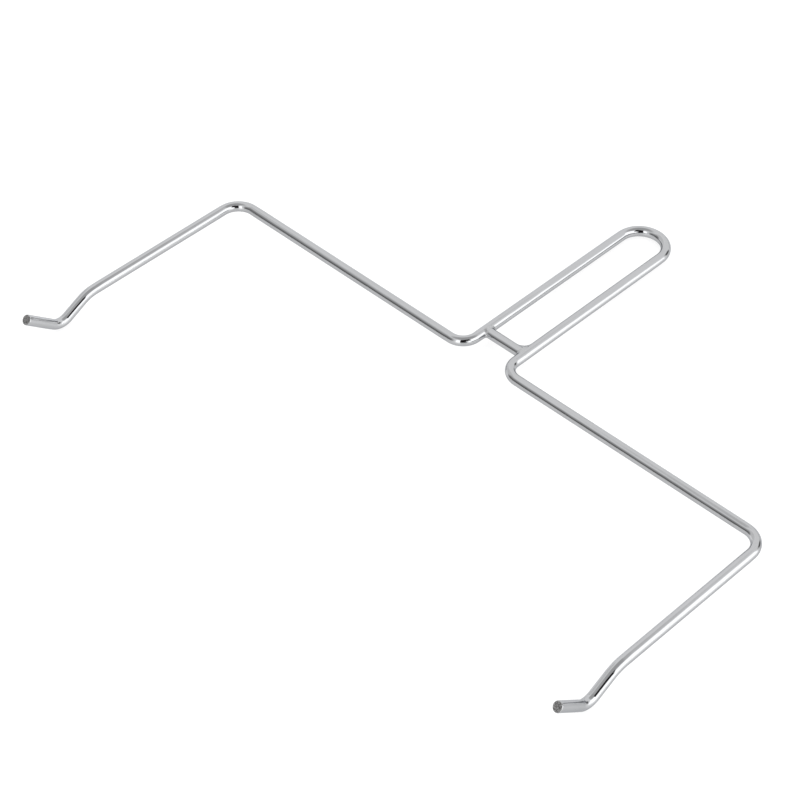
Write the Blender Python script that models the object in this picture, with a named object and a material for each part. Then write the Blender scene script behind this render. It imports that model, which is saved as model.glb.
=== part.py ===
"""A chrome wire bow: one bent wire with two hooked tips and a long hanging loop, stiffened where the
loop starts by a short cross tie that a weld bead holds at each end.

The bow is modelled in its own plane, the XY plane of an empty: the rail runs along X, the loop reaches
towards +Y and the two arms towards -Y. The empty then lays the bow down as it lies on a table, on the
undersides of its two tip valleys and of the loop's round end.
"""

import math

import bmesh
import bpy
from mathutils import Matrix, Vector

# Driving dimensions, in metres, between centrelines unless they say otherwise.
WIRE_DIAMETER = 0.006
ARM_SPACING = 0.381
LOOP_SPACING = 0.0282
LOOP_REACH = 0.1435        # from the rail to the far end of the loop
DIP_REACH = 0.113          # from the rail to the corner where an arm dips
VALLEY_REACH = 0.1335      # from the rail to the valley's corner
VALLEY_DROP = 0.0105       # the valley's corner below the bow's plane
TIP_REACH = 0.155          # from the rail to the sheared end of a tip
TIP_RISE = 0.0072          # that end above the bow's plane
TIE_SETBACK = 0.0175       # from the rail to the tie

# Radii of the wire's bends, to its centreline.
VALLEY_BEND = 0.0095
DIP_BEND = 0.021
RAIL_CORNER_BEND = 0.012
LOOP_ROOT_BEND = 0.010
LOOP_END_BEND = LOOP_SPACING / 2

END_CHAMFER = 0.0003       # the plating's small round at a sheared end
FIT_GAP = 0.0003           # between pieces that a weld joins

# Weld beads: how far each fillet climbs the leg, on the side of the loop and on the side of the rail.
LEFT_FILLETS = (0.0014, 0.0010)
RIGHT_FILLETS = (0.0055, 0.0012)
BEAD_SKIN = 0.0006         # the bead's height over the tie
BEAD_LIP = 0.0012          # where the bead ends on the leg, measured from the leg's centreline
BEAD_LIP_HEIGHT = 0.00035  # its height over the tie there

# Facets.
WIRE_SIDES = 24
ARC_STEP = math.radians(9)
BEAD_SIDES = 28
FILLET_STEPS = 6
SHARP_EDGE = math.radians(35)

WIRE_RADIUS = WIRE_DIAMETER / 2
LEG_X = LOOP_SPACING / 2
ARM_X = ARM_SPACING / 2
TIE_END_X = LEG_X - WIRE_RADIUS - FIT_GAP
SAME_PLACE = WIRE_RADIUS / 100      # stations closer than this are one
CUTTER_OVERRUN = 2 * WIRE_DIAMETER  # how far a cutter reaches past the bead


def clear_scene():
    for item in list(bpy.data.objects):
        bpy.data.objects.remove(item, do_unlink=True)


def metal(name, color, roughness):
    """A plated metal with one colour and one roughness."""
    material = bpy.data.materials.new(name)
    material.use_nodes = True
    shader = material.node_tree.nodes["Principled BSDF"]
    shader.inputs["Base Color"].default_value = (*color, 1)
    shader.inputs["Metallic"].default_value = 1
    shader.inputs["Roughness"].default_value = roughness
    return material


def add_object(name, mesh, material, parent):
    """Turns the bmesh into a named, smooth-shaded object under its parent."""
    bmesh.ops.recalc_face_normals(mesh, faces=mesh.faces)
    data = bpy.data.meshes.new(name)
    mesh.to_mesh(data)
    mesh.free()
    data.shade_smooth()
    data.set_sharp_from_angle(angle=SHARP_EDGE)
    data.materials.append(material)
    item = bpy.data.objects.new(name, data)
    item.parent = parent
    bpy.context.collection.objects.link(item)
    return item


def bend(before, corner, after, radius):
    """The stations of one bend, each a point of the centreline and its direction."""
    towards_start = (before - corner).normalized()
    towards_end = (after - corner).normalized()
    turn = math.pi - towards_start.angle(towards_end)
    setback = radius * math.tan(turn / 2)
    centre = corner + (towards_start + towards_end).normalized() * (radius / math.cos(turn / 2))
    spoke = corner + towards_start * setback - centre
    axis = (-towards_start).cross(towards_end).normalized()
    steps = max(2, round(turn / ARC_STEP))
    stations = []
    for step in range(steps + 1):
        swing = Matrix.Rotation(turn * step / steps, 3, axis)
        stations.append((centre + swing @ spoke, swing @ -towards_start))
    return stations


def bent_path(corners, bend_radii):
    """Straight runs from corner to corner, with a bend at each corner between the first and the last."""
    stations = [(corners[0], (corners[1] - corners[0]).normalized())]
    for before, corner, after, radius in zip(corners, corners[1:], corners[2:], bend_radii):
        arc = bend(before, corner, after, radius)
        if (arc[0][0] - stations[-1][0]).length < SAME_PLACE:
            arc = arc[1:]
        stations += arc
    stations.append((corners[-1], (corners[-1] - corners[-2]).normalized()))
    return stations


def chamfered(stations):
    """Each station with its wire radius: the sheared ends are drawn in by the chamfer."""
    first, last = stations[0], stations[-1]
    rings = [(*first, WIRE_RADIUS - END_CHAMFER)]
    rings.append((first[0] + first[1] * END_CHAMFER, first[1], WIRE_RADIUS))
    rings += [(*station, WIRE_RADIUS) for station in stations[1:-1]]
    rings.append((last[0] - last[1] * END_CHAMFER, last[1], WIRE_RADIUS))
    rings.append((*last, WIRE_RADIUS - END_CHAMFER))
    return rings


def skin(mesh, loops):
    """Faces between each closed loop of vertices and the next, and a flat face at both ends."""
    for near, far in zip(loops, loops[1:]):
        for side in range(len(near)):
            after = (side + 1) % len(near)
            mesh.faces.new((near[side], near[after], far[after], far[side]))
    mesh.faces.new(reversed(loops[0]))
    mesh.faces.new(loops[-1])


def round_wire(stations):
    """A bmesh of round wire along the stations, without twist."""
    mesh = bmesh.new()
    loops = []
    outward = Vector((0, 0, 1))
    for point, along, radius in chamfered(stations):
        outward = (outward - along * outward.dot(along)).normalized()
        across = along.cross(outward)
        loop = []
        for side in range(WIRE_SIDES):
            angle = 2 * math.pi * side / WIRE_SIDES
            spoke = outward * math.cos(angle) + across * math.sin(angle)
            loop.append(mesh.verts.new(point + spoke * radius))
        loops.append(loop)
    skin(mesh, loops)
    return mesh


def bow_wire(material, parent):
    """The one wire, bent from the left tip round the loop to the right tip."""
    left_half = [
        Vector((-ARM_X, -TIP_REACH, TIP_RISE)),
        Vector((-ARM_X, -VALLEY_REACH, -VALLEY_DROP)),
        Vector((-ARM_X, -DIP_REACH, 0)),
        Vector((-ARM_X, 0, 0)),
        Vector((-LEG_X, 0, 0)),
        Vector((-LEG_X, LOOP_REACH, 0)),
    ]
    right_half = [Vector((-corner.x, corner.y, corner.z)) for corner in reversed(left_half)]
    bends = [VALLEY_BEND, DIP_BEND, RAIL_CORNER_BEND, LOOP_ROOT_BEND, LOOP_END_BEND]
    stations = bent_path(left_half + right_half, bends + bends[::-1])
    return add_object("bow_wire", round_wire(stations), material, parent)


def cross_tie(material, parent):
    """A straight cut of the same wire, square-ended, between the loop's two legs."""
    ends = [Vector((-TIE_END_X, 0, 0)), Vector((TIE_END_X, 0, 0))]
    tie = add_object("cross_tie", round_wire(bent_path(ends, [])), material, parent)
    tie.location = (0, TIE_SETBACK, 0)
    return tie


def fillet_height(size, distance):
    """The height of a concave round fillet of this size, at this distance from the wall that it climbs."""
    if distance >= size:
        return 0
    return size - math.sqrt(size ** 2 - (size - max(distance, 0)) ** 2)


def bead_section(mesh, distance, fillets):
    """One closed section of a bead across the tie, at this distance from the leg's centreline. It is half
    an ellipse on the side of the loop, at +Y, and half an ellipse on the side of the rail, at -Y."""
    from_wall = distance - WIRE_RADIUS
    loop_width, rail_width = (WIRE_RADIUS + BEAD_SKIN + fillet_height(size, from_wall) for size in fillets)
    rise = BEAD_SKIN
    if from_wall < 0:
        rise += (BEAD_LIP_HEIGHT - BEAD_SKIN) * from_wall / (BEAD_LIP - WIRE_RADIUS)
    loop = []
    for side in range(BEAD_SIDES):
        angle = 2 * math.pi * side / BEAD_SIDES
        width = loop_width if math.cos(angle) > 0 else rail_width
        y = width * math.cos(angle)
        z = (WIRE_RADIUS + rise) * math.sin(angle)
        loop.append(mesh.verts.new((distance, y, z)))
    return loop


def cutter(name, start, end, parent):
    """A round cutter, a fit gap larger than the wire, from start to end."""
    mesh = bmesh.new()
    run = end - start
    place = Matrix.Translation((start + end) / 2) @ run.to_track_quat("Z", "Y").to_matrix().to_4x4()
    radius = WIRE_RADIUS + FIT_GAP
    bmesh.ops.create_cone(mesh, cap_ends=True, segments=WIRE_SIDES, radius1=radius, radius2=radius,
                          depth=run.length, matrix=place)
    data = bpy.data.meshes.new(name)
    mesh.to_mesh(data)
    mesh.free()
    item = bpy.data.objects.new(name, data)
    item.parent = parent
    item.hide_render = True
    item.display_type = "WIRE"
    bpy.context.collection.objects.link(item)
    return item


def weld_bead(name, side, fillets, material, parent):
    """A bead round one end of the tie, on the left (side -1) or on the right (side +1). It is made on a
    leg at X = 0 with the tie towards +X, then turned and moved to its own leg."""
    mesh = bmesh.new()
    tallest = max(fillets)
    distances = [BEAD_LIP, (BEAD_LIP + WIRE_RADIUS) / 2]
    for step in range(FILLET_STEPS + 1):
        swing = math.pi / 2 * step / FILLET_STEPS
        distances.append(WIRE_RADIUS + tallest * (1 - math.cos(swing)))
    skin(mesh, [bead_section(mesh, distance, fillets) for distance in distances])
    if side > 0:
        bmesh.ops.transform(mesh, matrix=Matrix.Scale(-1, 4, Vector((1, 0, 0))), verts=mesh.verts)
    bead = add_object(name, mesh, material, parent)
    bead.location = (side * LEG_X, TIE_SETBACK, 0)
    reach = CUTTER_OVERRUN + tallest
    tie_start = Vector((-side * WIRE_RADIUS, 0, 0))
    tie_end = Vector((-side * (WIRE_RADIUS + reach), 0, 0))
    cutters = [
        cutter(name + "_leg_cutter", Vector((0, -reach, 0)), Vector((0, reach, 0)), bead),
        cutter(name + "_tie_cutter", tie_start, tie_end, bead),
    ]
    for tool in cutters:
        cut = bead.modifiers.new(tool.name, "BOOLEAN")
        cut.operation = "DIFFERENCE"
        cut.solver = "EXACT"
        cut.object = tool
    return bead


def resting_tilt():
    """The angle about X that brings the loop's far end down to the level of the valleys' undersides."""
    valley = Vector((0, -VALLEY_REACH, -VALLEY_DROP))
    dip = Vector((0, -DIP_REACH, 0))
    tip = Vector((0, -TIP_REACH, TIP_RISE))
    to_dip = (dip - valley).normalized()
    to_tip = (tip - valley).normalized()
    half_opening = to_dip.angle(to_tip) / 2
    arc_centre = valley + (to_dip + to_tip).normalized() * (VALLEY_BEND / math.sin(half_opening))
    length = LOOP_REACH - arc_centre.y
    slope = math.atan2(arc_centre.z, length)
    return slope - math.asin(VALLEY_BEND / math.hypot(length, arc_centre.z))


def lay_down(bow, wire):
    """Tilts the bow to rest, and puts the origin under the middle of it, on the table."""
    bow.rotation_euler = (resting_tilt(), 0, 0)
    turn = bow.rotation_euler.to_matrix()
    corners = [turn @ vertex.co for vertex in wire.data.vertices]
    low = Vector([min(corner[axis] for corner in corners) for axis in range(3)])
    high = Vector([max(corner[axis] for corner in corners) for axis in range(3)])
    middle = (low + high) / 2
    bow.location = (-middle.x, -middle.y, -low.z)


def build():
    clear_scene()
    bow = bpy.data.objects.new("bow", None)
    bpy.context.collection.objects.link(bow)
    chrome = metal("chrome_wire", (0.80, 0.80, 0.81), 0.08)
    plated_weld = metal("plated_weld", (0.74, 0.74, 0.75), 0.22)
    wire = bow_wire(chrome, bow)
    cross_tie(chrome, bow)
    weld_bead("left_weld", -1, LEFT_FILLETS, plated_weld, bow)
    weld_bead("right_weld", 1, RIGHT_FILLETS, plated_weld, bow)
    lay_down(bow, wire)


build()
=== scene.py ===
import math

import bpy
from mathutils import Matrix, Quaternion, Vector, noise


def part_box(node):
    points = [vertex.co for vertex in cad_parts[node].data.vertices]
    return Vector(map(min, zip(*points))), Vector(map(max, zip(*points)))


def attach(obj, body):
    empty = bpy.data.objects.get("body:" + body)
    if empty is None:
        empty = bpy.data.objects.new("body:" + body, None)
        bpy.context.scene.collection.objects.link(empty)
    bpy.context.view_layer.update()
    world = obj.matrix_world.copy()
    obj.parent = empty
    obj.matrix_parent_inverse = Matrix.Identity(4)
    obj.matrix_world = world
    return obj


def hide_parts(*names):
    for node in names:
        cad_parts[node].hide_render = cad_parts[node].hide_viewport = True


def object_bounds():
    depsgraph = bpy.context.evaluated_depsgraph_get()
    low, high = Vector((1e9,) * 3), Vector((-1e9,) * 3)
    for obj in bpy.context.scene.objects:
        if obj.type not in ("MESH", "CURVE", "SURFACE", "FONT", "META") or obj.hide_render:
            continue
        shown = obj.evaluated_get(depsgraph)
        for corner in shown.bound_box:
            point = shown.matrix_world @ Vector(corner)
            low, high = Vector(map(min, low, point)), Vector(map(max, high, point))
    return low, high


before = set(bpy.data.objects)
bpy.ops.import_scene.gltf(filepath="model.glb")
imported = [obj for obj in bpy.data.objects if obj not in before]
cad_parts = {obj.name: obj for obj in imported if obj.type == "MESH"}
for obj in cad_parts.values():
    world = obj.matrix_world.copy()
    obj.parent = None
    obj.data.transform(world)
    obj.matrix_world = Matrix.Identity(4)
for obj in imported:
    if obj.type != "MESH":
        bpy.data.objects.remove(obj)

CAD_LOW, CAD_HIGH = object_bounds()

# The chrome wire bow's driving dimensions, the same as its CAD, in metres. The bow lies in the XY plane of
# its own frame: the rail along X, the loop towards +Y, the arms towards -Y.
WIRE_RADIUS = 0.003
ARM_X = 0.1905
LEG_X = 0.0141
LOOP_REACH = 0.1435
DIP_REACH = 0.113
VALLEY_REACH = 0.1335
VALLEY_DROP = 0.0105
TIP_REACH = 0.155
TIP_RISE = 0.0072
TIE_SETBACK = 0.0175
VALLEY_BEND = 0.0095
DIP_BEND = 0.021
RAIL_CORNER_BEND = 0.012
LOOP_ROOT_BEND = 0.010
LOOP_END_BEND = LEG_X

# Cold-bent wire: a little narrower in the plane of a bend, flatter on its outside, and eased in and out.
BEND_FLATTENING = 0.020
OUTSIDE_FLATTENING = 0.022
BEND_EASE = 0.004

# Mesh detail.
WIRE_SIDES = 56
ARC_STEP = math.radians(1.5)
RUN_STEP = 0.0030
SAME_PLACE = WIRE_RADIUS / 100      # stations closer than this are one
SHARP_EDGE = math.radians(40)

# The sheared ends.
RIM_ROUND = 0.00030        # how far the rolled rim draws in
RIM_REACH = 0.0008         # how far along the wire it starts
RIM_RINGS = 7
FACE_RINGS = 16
BURNISH_LEVEL = 0.0009     # how far above the middle of the face the smooth shear zone ends, on average
BURNISH_WANDER = 0.0004    # and how far that edge wanders
BURNISH_FADE = 0.0005      # the height over which it turns into the torn zone
BURNISH_DEPTH = 0.00011    # how far the smooth zone stands back from the rim
TORN_DEPTH = 0.000176      # and the torn zone
TORN_RELIEF = 0.00005
FIBRE_RELIEF = 0.000012
FIBRES = (5200, 700)       # fibres per metre across and down the face
TEARS = 1700               # tears per metre
WANDERS = 900              # bends per metre of the smooth zone's edge
LEFT_LEAN = (0.03, -0.05)  # each cut's lean, as slopes towards the wire's top and towards its side
RIGHT_LEAN = (0.02, 0.22)
LEFT_CUT_SEED = 3.0
RIGHT_CUT_SEED = 11.0

# The weld beads: how far each fillet reaches on the loop's side and elsewhere, in metres.
LEFT_FILLETS = (0.0020, 0.0011)
RIGHT_FILLETS = (0.0064, 0.0011)
WEB_LEVEL = 0.0012         # the loop-side fillet keeps its full reach within this height of the tie's axis
WEB_FADE = 0.0018          # and loses it over this much more height
BEAD_SIDES = 120
BEAD_RINGS = 26
BEAD_MARGIN = 0.0003       # how far the bead's skin runs on past its fillet
BEAD_LIFT = 0.000007       # how far that skin stands over the wire
BEAD_SINK = 0.000012       # how deep its edges dip into the wire
BEAD_RIPPLE = 0.00005
BEAD_RIPPLE_SCALE = 500    # ripples per metre
BEAD_SEARCH = 0.013        # longer than any bead reaches along its leg
BEAD_SEARCH_STEPS = 30
SETTLING_STEPS = 6
ROLL_PER_METRE = 200.0     # how fast a bead's edge climbs round the leg, against how far it runs along it
LEFT_BEAD_SEED = 2.0
RIGHT_BEAD_SEED = 5.0

# The camera, in the row's frame: 800 pixels square on a 36 mm sensor.
CAMERA_PLACE = Vector((0.64104, -0.68877, 0.91210))
CAMERA_AZIMUTH = math.radians(45.450)
CAMERA_ELEVATION = math.radians(44.704)
CAMERA_ROLL = math.radians(-1.602)
CAMERA_LENS_MM = 110.55

# The studio. Azimuths run from +Y towards +X, as seen from the bow. Brightness 1 is the picture's pure white.
ROOM_BRIGHTNESS = 1.27
SOFTBOX_BRIGHTNESS = 2.4
FLOOR_SIZE = 14.0
FLOOR_GLOW = 0.78
FLOOR_ALBEDO = 0.24
BLACK_CARD = 0.02
DARK_CARD = 0.15
GREY_CARD = 0.66
PALE_CARD = 1.02

# The plating's colours.
CHROME = (0.442, 0.447, 0.458)
HAZY_CHROME = (0.412, 0.416, 0.424)
WELD_CHROME = (0.430, 0.434, 0.442)
WELD_PIT = (0.12, 0.115, 0.11)
CHROME_EDGE_TINT = (0.66, 0.67, 0.69, 1)

# The bare steel's colours, where the wire was sheared.
DARK_STEEL = (0.12, 0.118, 0.115)
BRIGHT_STEEL = (0.60, 0.60, 0.605)
FIBRE_STEEL = (0.12, 0.12, 0.12)
RUST_FLECK = (0.10, 0.080, 0.062)


def resting_tilt():
    """The angle about X at which the bow lies on its two tip valleys and on the end of its loop."""
    valley = Vector((0, -VALLEY_REACH, -VALLEY_DROP))
    to_dip = (Vector((0, -DIP_REACH, 0)) - valley).normalized()
    to_tip = (Vector((0, -TIP_REACH, TIP_RISE)) - valley).normalized()
    half_opening = to_dip.angle(to_tip) / 2
    arc_centre = valley + (to_dip + to_tip).normalized() * (VALLEY_BEND / math.sin(half_opening))
    length = LOOP_REACH - arc_centre.y
    return math.atan2(arc_centre.z, length) - math.asin(VALLEY_BEND / math.hypot(length, arc_centre.z))


def bow_placement():
    """From the bow's own frame to the row's: tilted to rest, with its loop's far end where the CAD has it."""
    tilt = Matrix.Rotation(resting_tilt(), 4, "X")
    loop_end = tilt @ Vector((0, LOOP_REACH, 0))
    wire_low, wire_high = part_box("bow_wire")
    middle_x = (wire_low.x + wire_high.x) / 2
    target = Vector((middle_x, wire_high.y - WIRE_RADIUS, wire_low.z + WIRE_RADIUS))
    return Matrix.Translation(target - loop_end) @ tilt


PLACEMENT = bow_placement()


# ---------------------------------------------------------------- the wire's route

def smooth_step(value):
    """The smooth climb from 0 to 1 as the value does, held at both ends."""
    held = min(max(value, 0.0), 1.0)
    return held * held * (3 - 2 * held)


def bend_stations(before, corner, after, radius):
    """One bend as (point, direction, towards the bend's centre), from where it starts to where it ends."""
    towards_start = (before - corner).normalized()
    towards_end = (after - corner).normalized()
    turn = math.pi - towards_start.angle(towards_end)
    setback = radius * math.tan(turn / 2)
    centre = corner + (towards_start + towards_end).normalized() * (radius / math.cos(turn / 2))
    spoke = corner + towards_start * setback - centre
    axis = (-towards_start).cross(towards_end).normalized()
    steps = max(4, round(turn / ARC_STEP))
    stations = []
    for step in range(steps + 1):
        swing = Matrix.Rotation(turn * step / steps, 3, axis)
        stations.append((centre + swing @ spoke, swing @ -towards_start, swing @ -spoke.normalized()))
    return stations


def straight_points(start, end):
    """The points between two ends of a straight run, both ends left out."""
    count = max(1, round((end - start).length / RUN_STEP))
    return [start.lerp(end, step / count) for step in range(1, count)]


def wire_route(corners, bend_radii):
    """Stations along the wire, each with its point, direction, distance from the start, and how strongly it
    is bent (0 to 1) and towards which side."""
    route = [(corners[0], (corners[1] - corners[0]).normalized())]
    bends = []
    for before, corner, after, radius in zip(corners, corners[1:], corners[2:], bend_radii):
        arc = bend_stations(before, corner, after, radius)
        start = arc[0][0]
        along = arc[0][1]
        if (start - route[-1][0]).length < SAME_PLACE:
            arc = arc[1:]
        else:
            route += [(point, along) for point in straight_points(route[-1][0], start)]
        first = len(route)
        route += [(point, direction) for point, direction, _ in arc]
        bends.append((first, len(route) - 1, [inward for _, _, inward in arc]))
    along = (corners[-1] - corners[-2]).normalized()
    route += [(point, along) for point in straight_points(route[-1][0], corners[-1])]
    route.append((corners[-1], along))
    distances = [0.0]
    for (near, _), (far, _) in zip(route, route[1:]):
        distances.append(distances[-1] + (far - near).length)
    stations = []
    for index, (point, direction) in enumerate(route):
        bent, inward = bend_at(index, distances, bends)
        stations.append({"point": point, "along": direction, "distance": distances[index],
                         "bent": bent, "inward": inward})
    return stations


def bend_at(index, distances, bends):
    """How strongly the wire is bent at a station, eased over a short way before and after each bend."""
    strongest, inward = 0.0, Vector((0, 0, 0))
    for first, last, inwards in bends:
        outside = max(distances[first] - distances[index], distances[index] - distances[last], 0)
        bent = max(0.0, 1 - outside / BEND_EASE)
        if bent > strongest:
            strongest = bent
            inward = inwards[min(max(index - first, 0), len(inwards) - 1)]
    return smooth_step(strongest), inward


def bow_corners():
    left_half = [
        Vector((-ARM_X, -TIP_REACH, TIP_RISE)),
        Vector((-ARM_X, -VALLEY_REACH, -VALLEY_DROP)),
        Vector((-ARM_X, -DIP_REACH, 0)),
        Vector((-ARM_X, 0, 0)),
        Vector((-LEG_X, 0, 0)),
        Vector((-LEG_X, LOOP_REACH, 0)),
    ]
    return left_half + [Vector((-corner.x, corner.y, corner.z)) for corner in reversed(left_half)]


# ---------------------------------------------------------------- the wire's skin

def skin_between(faces, near, far):
    """Quads between two closed rings of vertex numbers."""
    count = len(near)
    for side in range(count):
        after = (side + 1) % count
        faces.append((near[side], near[after], far[after], far[side]))


class WireSkin:
    """Collects a round wire's vertices, faces and the place of each vertex on the straight wire that it was
    bent from, which is what the drawn and polished texture follows."""

    def __init__(self):
        self.points = []
        self.unbent = []
        self.bent = []
        self.faces = []
        self.face_slots = []

    def ring(self, points, unbent, bent):
        first = len(self.points)
        self.points += points
        self.unbent += unbent
        self.bent += [bent] * len(points)
        return list(range(first, first + len(points)))

    def join(self, near, far, slot=0):
        before = len(self.faces)
        skin_between(self.faces, near, far)
        self.face_slots += [slot] * (len(self.faces) - before)

    def close(self, ring, tip, unbent, slot, flip):
        """Closes a ring with a fan of triangles to one middle vertex."""
        middle = len(self.points)
        self.points.append(tip)
        self.unbent.append(unbent)
        self.bent.append(0.0)
        for side in range(len(ring)):
            after = (side + 1) % len(ring)
            corners = (ring[after], ring[side], middle) if flip else (ring[side], ring[after], middle)
            self.faces.append(corners)
            self.face_slots.append(slot)


def ring_frames(stations):
    """Each station with its two directions across the wire, carried along without twist."""
    outward = Vector((0, 0, 1))
    frames = []
    for station in stations:
        along = station["along"]
        outward = (outward - along * outward.dot(along)).normalized()
        frames.append((station, outward.copy(), along.cross(outward)))
    return frames


def wire_ring(skin, station, outward, across, radius, cut=None, back=0.0):
    """One ring of the wire's skin, flattened where the wire is bent. At a sheared end it follows the cut,
    this far back from it."""
    points, unbent = [], []
    bent, inward = station["bent"], station["inward"]
    for side in range(WIRE_SIDES):
        angle = 2 * math.pi * side / WIRE_SIDES
        spoke = outward * math.cos(angle) + across * math.sin(angle)
        up, sideways = math.cos(angle) * radius, math.sin(angle) * radius
        shift = cut_shift(cut, up, sideways, back) if cut else 0.0
        lean = spoke.dot(inward)
        squeeze = BEND_FLATTENING * lean
        if lean < 0:
            squeeze -= OUTSIDE_FLATTENING * lean * lean
        middle = station["point"] + station["along"] * shift
        points.append(middle + (spoke - inward * squeeze * bent) * radius)
        unbent.append(Vector((up, sideways, station["distance"] + shift)))
    return skin.ring(points, unbent, bent)


def cut_shift(cut, up, sideways, back):
    """How far along the wire a point of a sheared end stands from its station. A cut is the way it faces
    along the wire, -1 at the wire's start, and its two leans."""
    facing, up_lean, side_lean = cut
    return -facing * (back + up_lean * up + side_lean * sideways)


def shear_relief(up, sideways, seed):
    """How far the sheared face stands back at a point: a smooth burnished zone above, a torn zone below."""
    fibre = noise.noise(Vector((sideways * FIBRES[0], up * FIBRES[1], seed)))
    torn = noise.fractal(Vector((sideways * TEARS, up * TEARS, seed + 7)), 0.9, 2.1, 4)
    edge = BURNISH_LEVEL + BURNISH_WANDER * noise.noise(Vector((sideways * WANDERS, seed, 0)))
    tear = min(max((edge - up) / BURNISH_FADE, 0), 1)
    burnished = BURNISH_DEPTH + FIBRE_RELIEF * fibre
    broken = TORN_DEPTH + TORN_RELIEF * torn
    return burnished * (1 - tear) + broken * tear


def sheared_end(skin, last_ring, frame_at_end, cut, seed):
    """The rounded plated rim and the torn face of one sheared end."""
    station, outward, across = frame_at_end
    flip = cut[0] < 0
    ring = last_ring
    for step in range(1, RIM_RINGS + 1):
        swing = math.pi / 2 * step / RIM_RINGS
        radius = WIRE_RADIUS - RIM_ROUND * (1 - math.cos(swing))
        rim = wire_ring(skin, station, outward, across, radius, cut, RIM_REACH * (1 - math.sin(swing)))
        skin.join(*((rim, ring) if flip else (ring, rim)))
        ring = rim
    face_radius = WIRE_RADIUS - RIM_ROUND
    for step in range(1, FACE_RINGS):
        radius = face_radius * (1 - step / FACE_RINGS)
        settle = min(step / 2, 1)
        points, unbent = [], []
        for side in range(WIRE_SIDES):
            angle = 2 * math.pi * side / WIRE_SIDES
            up, sideways = math.cos(angle) * radius, math.sin(angle) * radius
            shift = cut_shift(cut, up, sideways, shear_relief(up, sideways, seed) * settle)
            middle = station["point"] + station["along"] * shift
            points.append(middle + outward * up + across * sideways)
            unbent.append(Vector((up, sideways, seed)))
        inner = skin.ring(points, unbent, 0.0)
        skin.join(*((inner, ring) if flip else (ring, inner)), slot=1)
        ring = inner
    tip = station["point"] + station["along"] * cut_shift(cut, 0, 0, shear_relief(0, 0, seed))
    skin.close(ring, tip, Vector((0, 0, seed)), 1, flip)


def flat_end(skin, ring, station, flip):
    """A plain closed end, for a cut that a weld bead covers."""
    skin.close(ring, station["point"], Vector((0, 0, station["distance"])), 0, flip)


def wire_skin(stations, cuts=None):
    """The skin of a round wire, with sheared ends where cuts are given and plain closed ends otherwise."""
    skin = WireSkin()
    frames = ring_frames(stations)
    rings = []
    for index, (station, outward, across) in enumerate(frames):
        cut = None
        if cuts and index == 0:
            cut = cuts[0]
        if cuts and index == len(frames) - 1:
            cut = cuts[1]
        rings.append(wire_ring(skin, station, outward, across, WIRE_RADIUS, cut, RIM_REACH))
    for near, far in zip(rings, rings[1:]):
        skin.join(near, far)
    if cuts:
        sheared_end(skin, rings[0], frames[0], cuts[0], LEFT_CUT_SEED)
        sheared_end(skin, rings[-1], frames[-1], cuts[1], RIGHT_CUT_SEED)
    else:
        flat_end(skin, rings[0], stations[0], True)
        flat_end(skin, rings[-1], stations[-1], False)
    return skin


def add_piece(name, points, faces, materials, face_slots=None, fields=()):
    """A smooth-shaded mesh piece in the row's frame, from points in the bow's frame."""
    data = bpy.data.meshes.new(name)
    data.from_pydata([PLACEMENT @ point for point in points], [], faces)
    for material in materials:
        data.materials.append(material)
    if face_slots:
        data.polygons.foreach_set("material_index", face_slots)
    for field, kind, values in fields:
        attribute = data.attributes.new(field, kind, "POINT")
        if kind == "FLOAT_VECTOR":
            attribute.data.foreach_set("vector", [number for value in values for number in value])
        else:
            attribute.data.foreach_set("value", values)
    data.update()
    data.shade_smooth()
    data.set_sharp_from_angle(angle=SHARP_EDGE)
    piece = bpy.data.objects.new(name, data)
    bpy.context.scene.collection.objects.link(piece)
    return piece


# ---------------------------------------------------------------- the weld beads

def distance_to_leg(point):
    return math.hypot(point.x, point.z) - WIRE_RADIUS


def distance_to_tie(point):
    beyond = max(WIRE_RADIUS - point.x, 0)
    return math.sqrt(beyond ** 2 + point.y ** 2 + point.z ** 2) - WIRE_RADIUS


def fillet_reach(point, fillets):
    """How far the weld's fillet reaches at a point: far in the web on the loop's side, a little elsewhere."""
    loop_reach, other_reach = fillets
    loop_side = smooth_step(point.y / WIRE_RADIUS)
    level = 1 - smooth_step((abs(point.z) - WEB_LEVEL) / WEB_FADE)
    return other_reach + (loop_reach - other_reach) * loop_side * level


def weld_field(point, fillets):
    """Zero on the joined skin of the leg, the tie and the fillet between them, and positive outside it."""
    to_leg, to_tie = distance_to_leg(point), distance_to_tie(point)
    reach = fillet_reach(point, fillets)
    overlap = max(reach - abs(to_leg - to_tie), 0)
    return min(to_leg, to_tie) - overlap ** 2 / (4 * reach)


def field_slope(point, fillets):
    nudge = WIRE_RADIUS / 1000
    value = weld_field(point, fillets)
    steps = [Vector((nudge, 0, 0)), Vector((0, nudge, 0)), Vector((0, 0, nudge))]
    return value, Vector([(weld_field(point + step, fillets) - value) / nudge for step in steps])


def settled(point, fillets):
    """The nearby point of the joined skin, and the direction out of it."""
    for _ in range(SETTLING_STEPS):
        value, slope = field_slope(point, fillets)
        point = point - slope * (value / slope.length_squared)
    return point, slope.normalized()


def edge_on_tie(angle, fillets):
    """Where the bead's skin starts on the tie, at this angle round it from the loop's side."""
    y, z = WIRE_RADIUS * math.cos(angle), WIRE_RADIUS * math.sin(angle)
    from_leg = WIRE_RADIUS + fillet_reach(Vector((0, y, z)), fillets) + BEAD_MARGIN
    return Vector((max(math.sqrt(from_leg ** 2 - z ** 2), WIRE_RADIUS + BEAD_MARGIN), y, z))


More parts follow.
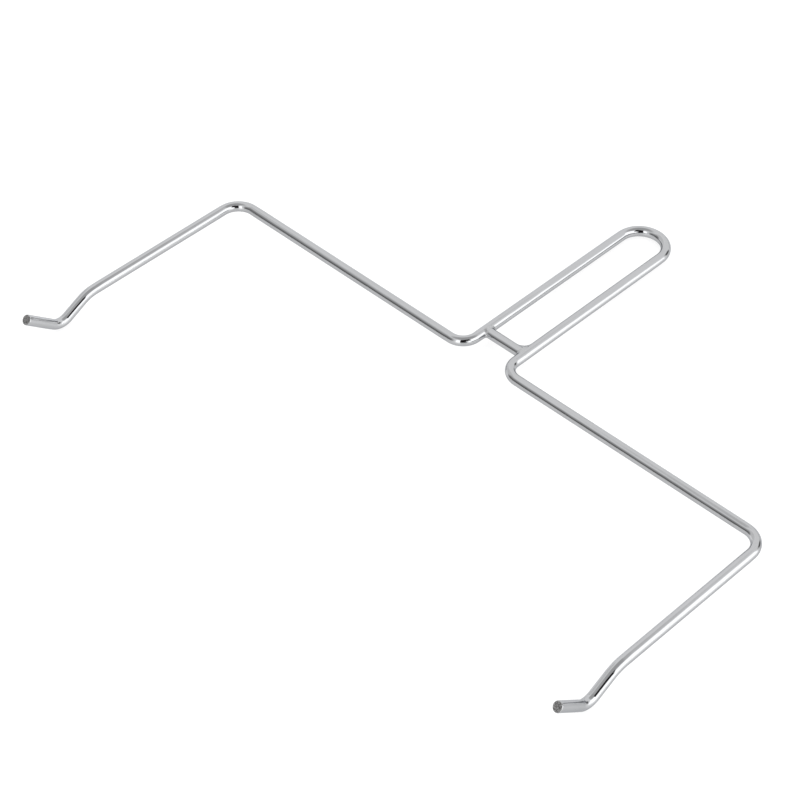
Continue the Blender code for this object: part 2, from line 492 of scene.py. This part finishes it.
def edge_on_leg(angle, fillets):
    """Where the bead's skin ends on the leg, going out from the tie's middle at this angle."""
    near, far = 0.0, BEAD_SEARCH
    for _ in range(BEAD_SEARCH_STEPS):
        run = (near + far) / 2
        roll = run * math.sin(angle) * ROLL_PER_METRE
        point = Vector((WIRE_RADIUS * math.cos(roll), run * math.cos(angle), WIRE_RADIUS * math.sin(roll)))
        if distance_to_tie(point) < fillet_reach(point, fillets) + BEAD_MARGIN:
            near = run
        else:
            far = run
    return point


def bead_line(angle, fillets, seed):
    """One line of a bead's skin, from the tie to the leg. The leg's centreline is the Y axis here, and the
    tie runs towards +X."""
    start, end = edge_on_tie(angle, fillets), edge_on_leg(angle, fillets)
    line = []
    for step in range(BEAD_RINGS + 1):
        part = step / BEAD_RINGS
        point, outward = settled(start.lerp(end, part), fillets)
        ripple = BEAD_RIPPLE * noise.noise(point * BEAD_RIPPLE_SCALE + Vector((seed, 0, 0)))
        at_edge = step in (0, BEAD_RINGS)
        stand = -BEAD_SINK if at_edge else BEAD_LIFT + abs(ripple) * math.sin(math.pi * part)
        line.append(point + outward * stand)
    return line


def weld_bead(name, side, fillets, material, seed):
    """A bead round one end of the tie, blended into the tie and into the leg, on side -1 or +1. A small heart
    inside the wire closes it."""
    points, faces = [], []
    lines = [bead_line(2 * math.pi * index / BEAD_SIDES, fillets, seed) for index in range(BEAD_SIDES)]
    rings = [[line[step] for line in lines] for step in range(BEAD_RINGS + 1)]
    heart = [Vector((WIRE_RADIUS, point.y / 3, point.z / 3)) for point in rings[0]]
    numbers = []
    for ring in [heart] + rings:
        numbers.append(list(range(len(points), len(points) + BEAD_SIDES)))
        points += ring
    numbers.append(numbers[0])
    for near, far in zip(numbers, numbers[1:]):
        skin_between(faces, near, far)
    if side < 0:
        faces = [tuple(reversed(face)) for face in faces]
    leg = Vector((side * LEG_X, TIE_SETBACK, 0))
    placed = [leg + Vector((-side * point.x, point.y, point.z)) for point in points]
    return add_piece(name, placed, faces, [material], fields=[("unbent", "FLOAT_VECTOR", points)])


# ---------------------------------------------------------------- materials

def new_material(name):
    """A material with its Principled shader, and the tree to add to."""
    material = bpy.data.materials.new(name)
    material.use_nodes = True
    tree = material.node_tree
    return material, tree, tree.nodes["Principled BSDF"]


def stretched_noise(tree, coordinates, stretch, scale, detail, roughness=0.5):
    """Noise over the coordinates, each first multiplied by its stretch."""
    mapping = tree.nodes.new("ShaderNodeMapping")
    mapping.inputs["Scale"].default_value = stretch
    tree.links.new(coordinates, mapping.inputs["Vector"])
    texture = tree.nodes.new("ShaderNodeTexNoise")
    texture.inputs["Scale"].default_value = scale
    texture.inputs["Detail"].default_value = detail
    texture.inputs["Roughness"].default_value = roughness
    tree.links.new(mapping.outputs["Vector"], texture.inputs["Vector"])
    return texture.outputs["Fac"]


def ramp(tree, value, source, target=(0, 1)):
    """The value, turned from the source range to the target range and held at both ends."""
    node = tree.nodes.new("ShaderNodeMapRange")
    node.inputs["From Min"].default_value, node.inputs["From Max"].default_value = source
    node.inputs["To Min"].default_value, node.inputs["To Max"].default_value = target
    tree.links.new(value, node.inputs["Value"])
    return node.outputs["Result"]


def smooth_ramp(tree, value, low, high):
    """The value's smooth climb from 0 at low to 1 at high."""
    node = tree.nodes.new("ShaderNodeMapRange")
    node.interpolation_type = "SMOOTHSTEP"
    node.inputs["From Min"].default_value = low
    node.inputs["From Max"].default_value = high
    tree.links.new(value, node.inputs["Value"])
    return node.outputs["Result"]


def combine(tree, operation, first, second):
    node = tree.nodes.new("ShaderNodeMath")
    node.operation = operation
    for socket, value in zip(node.inputs, (first, second)):
        if isinstance(value, (int, float)):
            socket.default_value = value
        else:
            tree.links.new(value, socket)
    return node.outputs["Value"]


def mixed_color(tree, factor, first, second):
    node = tree.nodes.new("ShaderNodeMix")
    node.data_type = "RGBA"
    tree.links.new(factor, node.inputs["Factor"])
    for socket, color in ((node.inputs["A"], first), (node.inputs["B"], second)):
        if isinstance(color, tuple):
            socket.default_value = (*color, 1)
        else:
            tree.links.new(color, socket)
    return node.outputs["Result"]


def bump(tree, height, distance, strength, before=None):
    node = tree.nodes.new("ShaderNodeBump")
    node.inputs["Distance"].default_value = distance
    node.inputs["Strength"].default_value = strength
    tree.links.new(height, node.inputs["Height"])
    if before is not None:
        tree.links.new(before, node.inputs["Normal"])
    return node.outputs["Normal"]


def field(tree, name, output):
    node = tree.nodes.new("ShaderNodeAttribute")
    node.attribute_name = name
    return node.outputs[output]


def chrome_material():
    """Bright chrome over drawn wire: fine lines along the wire, wipe marks, a faint haze where it has been
    handled, and light scuffing where the bending tool gripped."""
    material, tree, shader = new_material("chrome_wire")
    place = field(tree, "unbent", "Vector")
    bent = field(tree, "bent", "Fac")
    drawn = stretched_noise(tree, place, stretch=(1, 1, 0.012), scale=5200, detail=2)
    waves = stretched_noise(tree, place, stretch=(1, 1, 0.3), scale=170, detail=2)
    peel = stretched_noise(tree, place, stretch=(1, 1, 1), scale=620, detail=2)
    haze = stretched_noise(tree, place, stretch=(1, 1, 0.35), scale=95, detail=4, roughness=0.6)
    wiped = stretched_noise(tree, place, stretch=(1, 1, 0.06), scale=2600, detail=3, roughness=0.7)
    scuffed = stretched_noise(tree, place, stretch=(0.25, 0.25, 1), scale=3100, detail=3, roughness=0.7)
    wipes = ramp(tree, wiped, (0.62, 0.74))
    bend_scuffs = combine(tree, "MULTIPLY", ramp(tree, scuffed, (0.52, 0.72)), bent)
    roughness = ramp(tree, haze, (0.35, 0.75), (0.035, 0.11))
    roughness = combine(tree, "ADD", roughness, combine(tree, "MULTIPLY", wipes, 0.07))
    roughness = combine(tree, "ADD", roughness, combine(tree, "MULTIPLY", bend_scuffs, 0.10))
    tree.links.new(roughness, shader.inputs["Roughness"])
    tone = mixed_color(tree, ramp(tree, haze, (0.3, 0.8)), CHROME, HAZY_CHROME)
    tree.links.new(tone, shader.inputs["Base Color"])
    normal = bump(tree, waves, distance=0.00016, strength=0.8)
    normal = bump(tree, peel, distance=0.00002, strength=0.5, before=normal)
    normal = bump(tree, drawn, distance=0.000004, strength=0.8, before=normal)
    normal = bump(tree, bend_scuffs, distance=0.000004, strength=0.6, before=normal)
    tree.links.new(normal, shader.inputs["Normal"])
    shader.inputs["Metallic"].default_value = 1
    shader.inputs["Specular Tint"].default_value = CHROME_EDGE_TINT
    return material


def sheared_material():
    """The wire's core, bare where it was sheared: dull grey steel, darker in the torn zone, flecked with
    rust and traces of plating."""
    material, tree, shader = new_material("sheared_steel")
    place = field(tree, "unbent", "Vector")
    torn = stretched_noise(tree, place, stretch=(1, 1, 1), scale=1300, detail=4, roughness=0.65)
    flecked = stretched_noise(tree, place, stretch=(1, 1, 1), scale=2300, detail=2, roughness=0.6)
    fibre = stretched_noise(tree, place, stretch=(1, 0.16, 1), scale=3200, detail=2)
    steel = mixed_color(tree, ramp(tree, torn, (0.40, 0.62)), DARK_STEEL, BRIGHT_STEEL)
    steel = mixed_color(tree, ramp(tree, fibre, (0.45, 0.62), (0, 0.5)), steel, FIBRE_STEEL)
    color = mixed_color(tree, ramp(tree, flecked, (0.56, 0.66)), steel, RUST_FLECK)
    tree.links.new(color, shader.inputs["Base Color"])
    roughness = ramp(tree, torn, (0.3, 0.75), (0.62, 0.36))
    tree.links.new(roughness, shader.inputs["Roughness"])
    normal = bump(tree, torn, distance=0.00016, strength=0.9)
    normal = bump(tree, fibre, distance=0.00001, strength=0.6, before=normal)
    tree.links.new(normal, shader.inputs["Normal"])
    shader.inputs["Metallic"].default_value = 1
    return material


def weld_material():
    """Chrome over a dressed weld: the same plate, duller, with soft ripples and pinholes."""
    material, tree, shader = new_material("plated_weld")
    place = field(tree, "unbent", "Vector")
    ripple = stretched_noise(tree, place, stretch=(1, 1, 1), scale=480, detail=3)
    grind = stretched_noise(tree, place, stretch=(1, 0.12, 1), scale=3600, detail=3, roughness=0.6)
    pinholes = stretched_noise(tree, place, stretch=(1, 1, 1), scale=1700, detail=2)
    pits = ramp(tree, pinholes, (0.70, 0.76))
    roughness = ramp(tree, grind, (0.3, 0.7), (0.17, 0.30))
    roughness = combine(tree, "ADD", roughness, combine(tree, "MULTIPLY", pits, 0.3))
    tree.links.new(roughness, shader.inputs["Roughness"])
    tree.links.new(mixed_color(tree, pits, WELD_CHROME, WELD_PIT), shader.inputs["Base Color"])
    normal = bump(tree, ripple, distance=0.00003, strength=0.5)
    normal = bump(tree, grind, distance=0.000003, strength=0.5, before=normal)
    tree.links.new(normal, shader.inputs["Normal"])
    shader.inputs["Metallic"].default_value = 1
    shader.inputs["Specular Tint"].default_value = CHROME_EDGE_TINT
    return material


def floor_material():
    """A white light-table top. Part of its brightness is its own, so that thin wire casts hardly any
    shadow."""
    material, tree, shader = new_material("pale_floor")
    where = tree.nodes.new("ShaderNodeTexCoord").outputs["Object"]
    cloud = stretched_noise(tree, where, stretch=(1, 1, 1), scale=3, detail=3)
    tone = mixed_color(tree, cloud, (FLOOR_ALBEDO,) * 3, (FLOOR_ALBEDO * 0.98,) * 3)
    tree.links.new(tone, shader.inputs["Base Color"])
    shader.inputs["Roughness"].default_value = 0.22
    shader.inputs["Specular IOR Level"].default_value = 0.5
    shader.inputs["Emission Color"].default_value = (1, 1, 1, 1)
    shader.inputs["Emission Strength"].default_value = FLOOR_GLOW
    return material


# ---------------------------------------------------------------- the studio

def direction(azimuth, elevation):
    """A unit vector at an azimuth from +Y towards +X and an elevation, both in degrees."""
    a, e = math.radians(azimuth), math.radians(elevation)
    return Vector((math.sin(a) * math.cos(e), math.cos(a) * math.cos(e), math.sin(e)))


def upright_frame(azimuth, low, high, distance):
    """The middle of an upright panel at this azimuth and distance, its height, and its turn to the bow."""
    bottom = distance * math.tan(math.radians(low))
    top = distance * math.tan(math.radians(high))
    middle = direction(azimuth, 0) * distance + Vector((0, 0, (bottom + top) / 2))
    turn = direction(azimuth, 0).to_track_quat("Z", "Y")
    return middle, top - bottom, turn


def card_material(name, brightness, softness, bottom_softness):
    """An evenly glowing surface whose edges fade out, so that the chrome shows it without a hard outline."""
    material = bpy.data.materials.new(name)
    material.use_nodes = True
    tree = material.node_tree
    tree.nodes.clear()
    where = tree.nodes.new("ShaderNodeTexCoord").outputs["UV"]
    split = tree.nodes.new("ShaderNodeSeparateXYZ")
    tree.links.new(where, split.inputs["Vector"])
    across, up = split.outputs["X"], split.outputs["Y"]
    cover = None
    for place, soft in ((across, softness[0]), (combine(tree, "SUBTRACT", 1, across), softness[0]),
                        (combine(tree, "SUBTRACT", 1, up), softness[1]), (up, bottom_softness)):
        if soft > 0:
            fade = smooth_ramp(tree, place, 0, soft)
            cover = fade if cover is None else combine(tree, "MULTIPLY", cover, fade)
    glow = tree.nodes.new("ShaderNodeEmission")
    glow.inputs["Color"].default_value = (1, 1, 1, 1)
    glow.inputs["Strength"].default_value = brightness
    clear = tree.nodes.new("ShaderNodeBsdfTransparent")
    mix = tree.nodes.new("ShaderNodeMixShader")
    tree.links.new(cover, mix.inputs["Fac"])
    tree.links.new(clear.outputs["BSDF"], mix.inputs[1])
    tree.links.new(glow.outputs["Emission"], mix.inputs[2])
    output = tree.nodes.new("ShaderNodeOutputMaterial")
    tree.links.new(mix.outputs["Shader"], output.inputs["Surface"])
    return material


def card(name, middle, turn, size, brightness, softness, bottom_softness=None, lights_floor=False):
    """A flat card of the studio, facing the bow. The lens doesn't see it, but the chrome does. Softness is
    the part of its width and of its height over which it fades out."""
    half_width, half_height = size[0] / 2, size[1] / 2
    corners = [(-half_width, -half_height, 0), (half_width, -half_height, 0),
               (half_width, half_height, 0), (-half_width, half_height, 0)]
    data = bpy.data.meshes.new(name)
    data.from_pydata(corners, [], [(0, 1, 2, 3)])
    places = data.uv_layers.new(name="card").data
    for loop, place in zip(places, ((0, 0), (1, 0), (1, 1), (0, 1))):
        loop.uv = place
    bottom = softness[1] if bottom_softness is None else bottom_softness
    data.materials.append(card_material(name, brightness, softness, bottom))
    item = bpy.data.objects.new(name, data)
    item.location = middle
    item.rotation_mode = "QUATERNION"
    item.rotation_quaternion = turn
    item.visible_camera = False
    item.visible_diffuse = lights_floor
    item.visible_shadow = False
    bpy.context.scene.collection.objects.link(item)


def upright_card(name, azimuth, width, low, high, distance, brightness, softness, bottom_softness=None,
                 lights_floor=False):
    """An upright card: its middle azimuth, angular width, and lowest and highest elevation, in degrees."""
    middle, height, turn = upright_frame(azimuth, low, high, distance)
    half_width = distance * math.tan(math.radians(width / 2))
    card(name, middle, turn, (2 * half_width, height), brightness, softness, bottom_softness, lights_floor)


def room():
    world = bpy.data.worlds.new("studio_white")
    bpy.context.scene.world = world
    world.use_nodes = True
    background = world.node_tree.nodes["Background"]
    background.inputs["Color"].default_value = (1, 1, 1, 1)
    background.inputs["Strength"].default_value = ROOM_BRIGHTNESS


def floor():
    half = FLOOR_SIZE / 2
    data = bpy.data.meshes.new("floor")
    corners = [(-half, -half, 0), (half, -half, 0), (half, half, 0), (-half, half, 0)]
    data.from_pydata(corners, [], [(0, 1, 2, 3)])
    data.materials.append(floor_material())
    top = bpy.data.objects.new("floor", data)
    top.location = (0, 0, CAD_LOW.z)
    bpy.context.scene.collection.objects.link(top)


def studio():
    room()
    floor()
    upright_card("key_softbox", azimuth=78, width=74, low=-0.5, high=47, distance=1.5,
                 brightness=SOFTBOX_BRIGHTNESS, softness=(0.10, 0.12), bottom_softness=0, lights_floor=True)
    upright_card("fill_softbox", azimuth=158, width=20, low=-0.5, high=48, distance=2.4,
                 brightness=SOFTBOX_BRIGHTNESS, softness=(0.05, 0.10), bottom_softness=0, lights_floor=True)
    upright_card("camera_and_stand", azimuth=134, width=30, low=-0.5, high=58, distance=1.4,
                 brightness=BLACK_CARD, softness=(0.08, 0.12), bottom_softness=0)
    upright_card("camera_boom", azimuth=110, width=32, low=26, high=61, distance=1.3,
                 brightness=BLACK_CARD, softness=(0.08, 0.08))
    upright_card("dim_room", azimuth=212, width=80, low=-0.5, high=58, distance=1.9,
                 brightness=DARK_CARD, softness=(0.30, 1.0), bottom_softness=0)
    upright_card("softbox_stand", azimuth=24, width=30, low=-0.5, high=30, distance=1.6,
                 brightness=DARK_CARD, softness=(0.35, 0.35), bottom_softness=0)
    upright_card("pale_side_wall", azimuth=-102, width=70, low=3, high=57, distance=2.5,
                 brightness=PALE_CARD, softness=(0.30, 0.25))
    # Painted shade: a grey card low on the far horizon, seen only in the chrome, stands in for the floor's
    # shadow near the wire and the bow's own reflection there.
    upright_card("horizon_shade_card", azimuth=8, width=60, low=-0.5, high=9, distance=2.6,
                 brightness=GREY_CARD, softness=(0.25, 0.40), bottom_softness=0)
    card("dim_ceiling", middle=(0.42, 0.1, 2.2), turn=Quaternion((1, 0, 0, 0)), size=(3.2, 3.6),
         brightness=GREY_CARD, softness=(0.25, 0.30))


def camera():
    data = bpy.data.cameras.new("camera")
    data.sensor_width = 36
    data.lens = CAMERA_LENS_MM
    data.clip_start = 0.05
    data.clip_end = 50
    item = bpy.data.objects.new("camera", data)
    back = Vector((math.sin(CAMERA_AZIMUTH) * math.cos(CAMERA_ELEVATION),
                   -math.cos(CAMERA_AZIMUTH) * math.cos(CAMERA_ELEVATION),
                   math.sin(CAMERA_ELEVATION)))
    level = Vector((math.cos(CAMERA_AZIMUTH), math.sin(CAMERA_AZIMUTH), 0))
    upright = back.cross(level)
    right = level * math.cos(CAMERA_ROLL) + upright * math.sin(CAMERA_ROLL)
    up = back.cross(right)
    axes = Matrix((right, up, back)).transposed()
    item.matrix_world = Matrix.Translation(CAMERA_PLACE) @ axes.to_4x4()
    bpy.context.scene.collection.objects.link(item)
    bpy.context.scene.camera = item


# ---------------------------------------------------------------- the bow

def make_bow():
    chrome = chrome_material()
    sheared = sheared_material()
    weld = weld_material()

    bends = [VALLEY_BEND, DIP_BEND, RAIL_CORNER_BEND, LOOP_ROOT_BEND, LOOP_END_BEND]
    cuts = [(-1, *LEFT_LEAN), (1, *RIGHT_LEAN)]
    skin = wire_skin(wire_route(bow_corners(), bends + bends[::-1]), cuts)
    wire = add_piece("bow_wire_drawn", skin.points, skin.faces, [chrome, sheared], skin.face_slots,
                     [("unbent", "FLOAT_VECTOR", skin.unbent), ("bent", "FLOAT", skin.bent)])
    tie_end = LEG_X - WIRE_RADIUS
    ends = [Vector((-tie_end, TIE_SETBACK, 0)), Vector((tie_end, TIE_SETBACK, 0))]
    skin = wire_skin(wire_route(ends, []))
    tie = add_piece("cross_tie_drawn", skin.points, skin.faces, [chrome], skin.face_slots,
                    [("unbent", "FLOAT_VECTOR", skin.unbent), ("bent", "FLOAT", skin.bent)])
    left = weld_bead("left_weld_dressed", -1, LEFT_FILLETS, weld, LEFT_BEAD_SEED)
    right = weld_bead("right_weld_dressed", 1, RIGHT_FILLETS, weld, RIGHT_BEAD_SEED)
    for piece, node, slot in ((wire, "bow_wire", "chrome_wire"), (tie, "cross_tie", "chrome_wire"),
                              (left, "left_weld", "plated_weld"), (right, "right_weld", "plated_weld")):
        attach(piece, "root")
        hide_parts(node)


make_bow()
studio()
camera()
bpy.context.scene.view_settings.view_transform = "Standard"
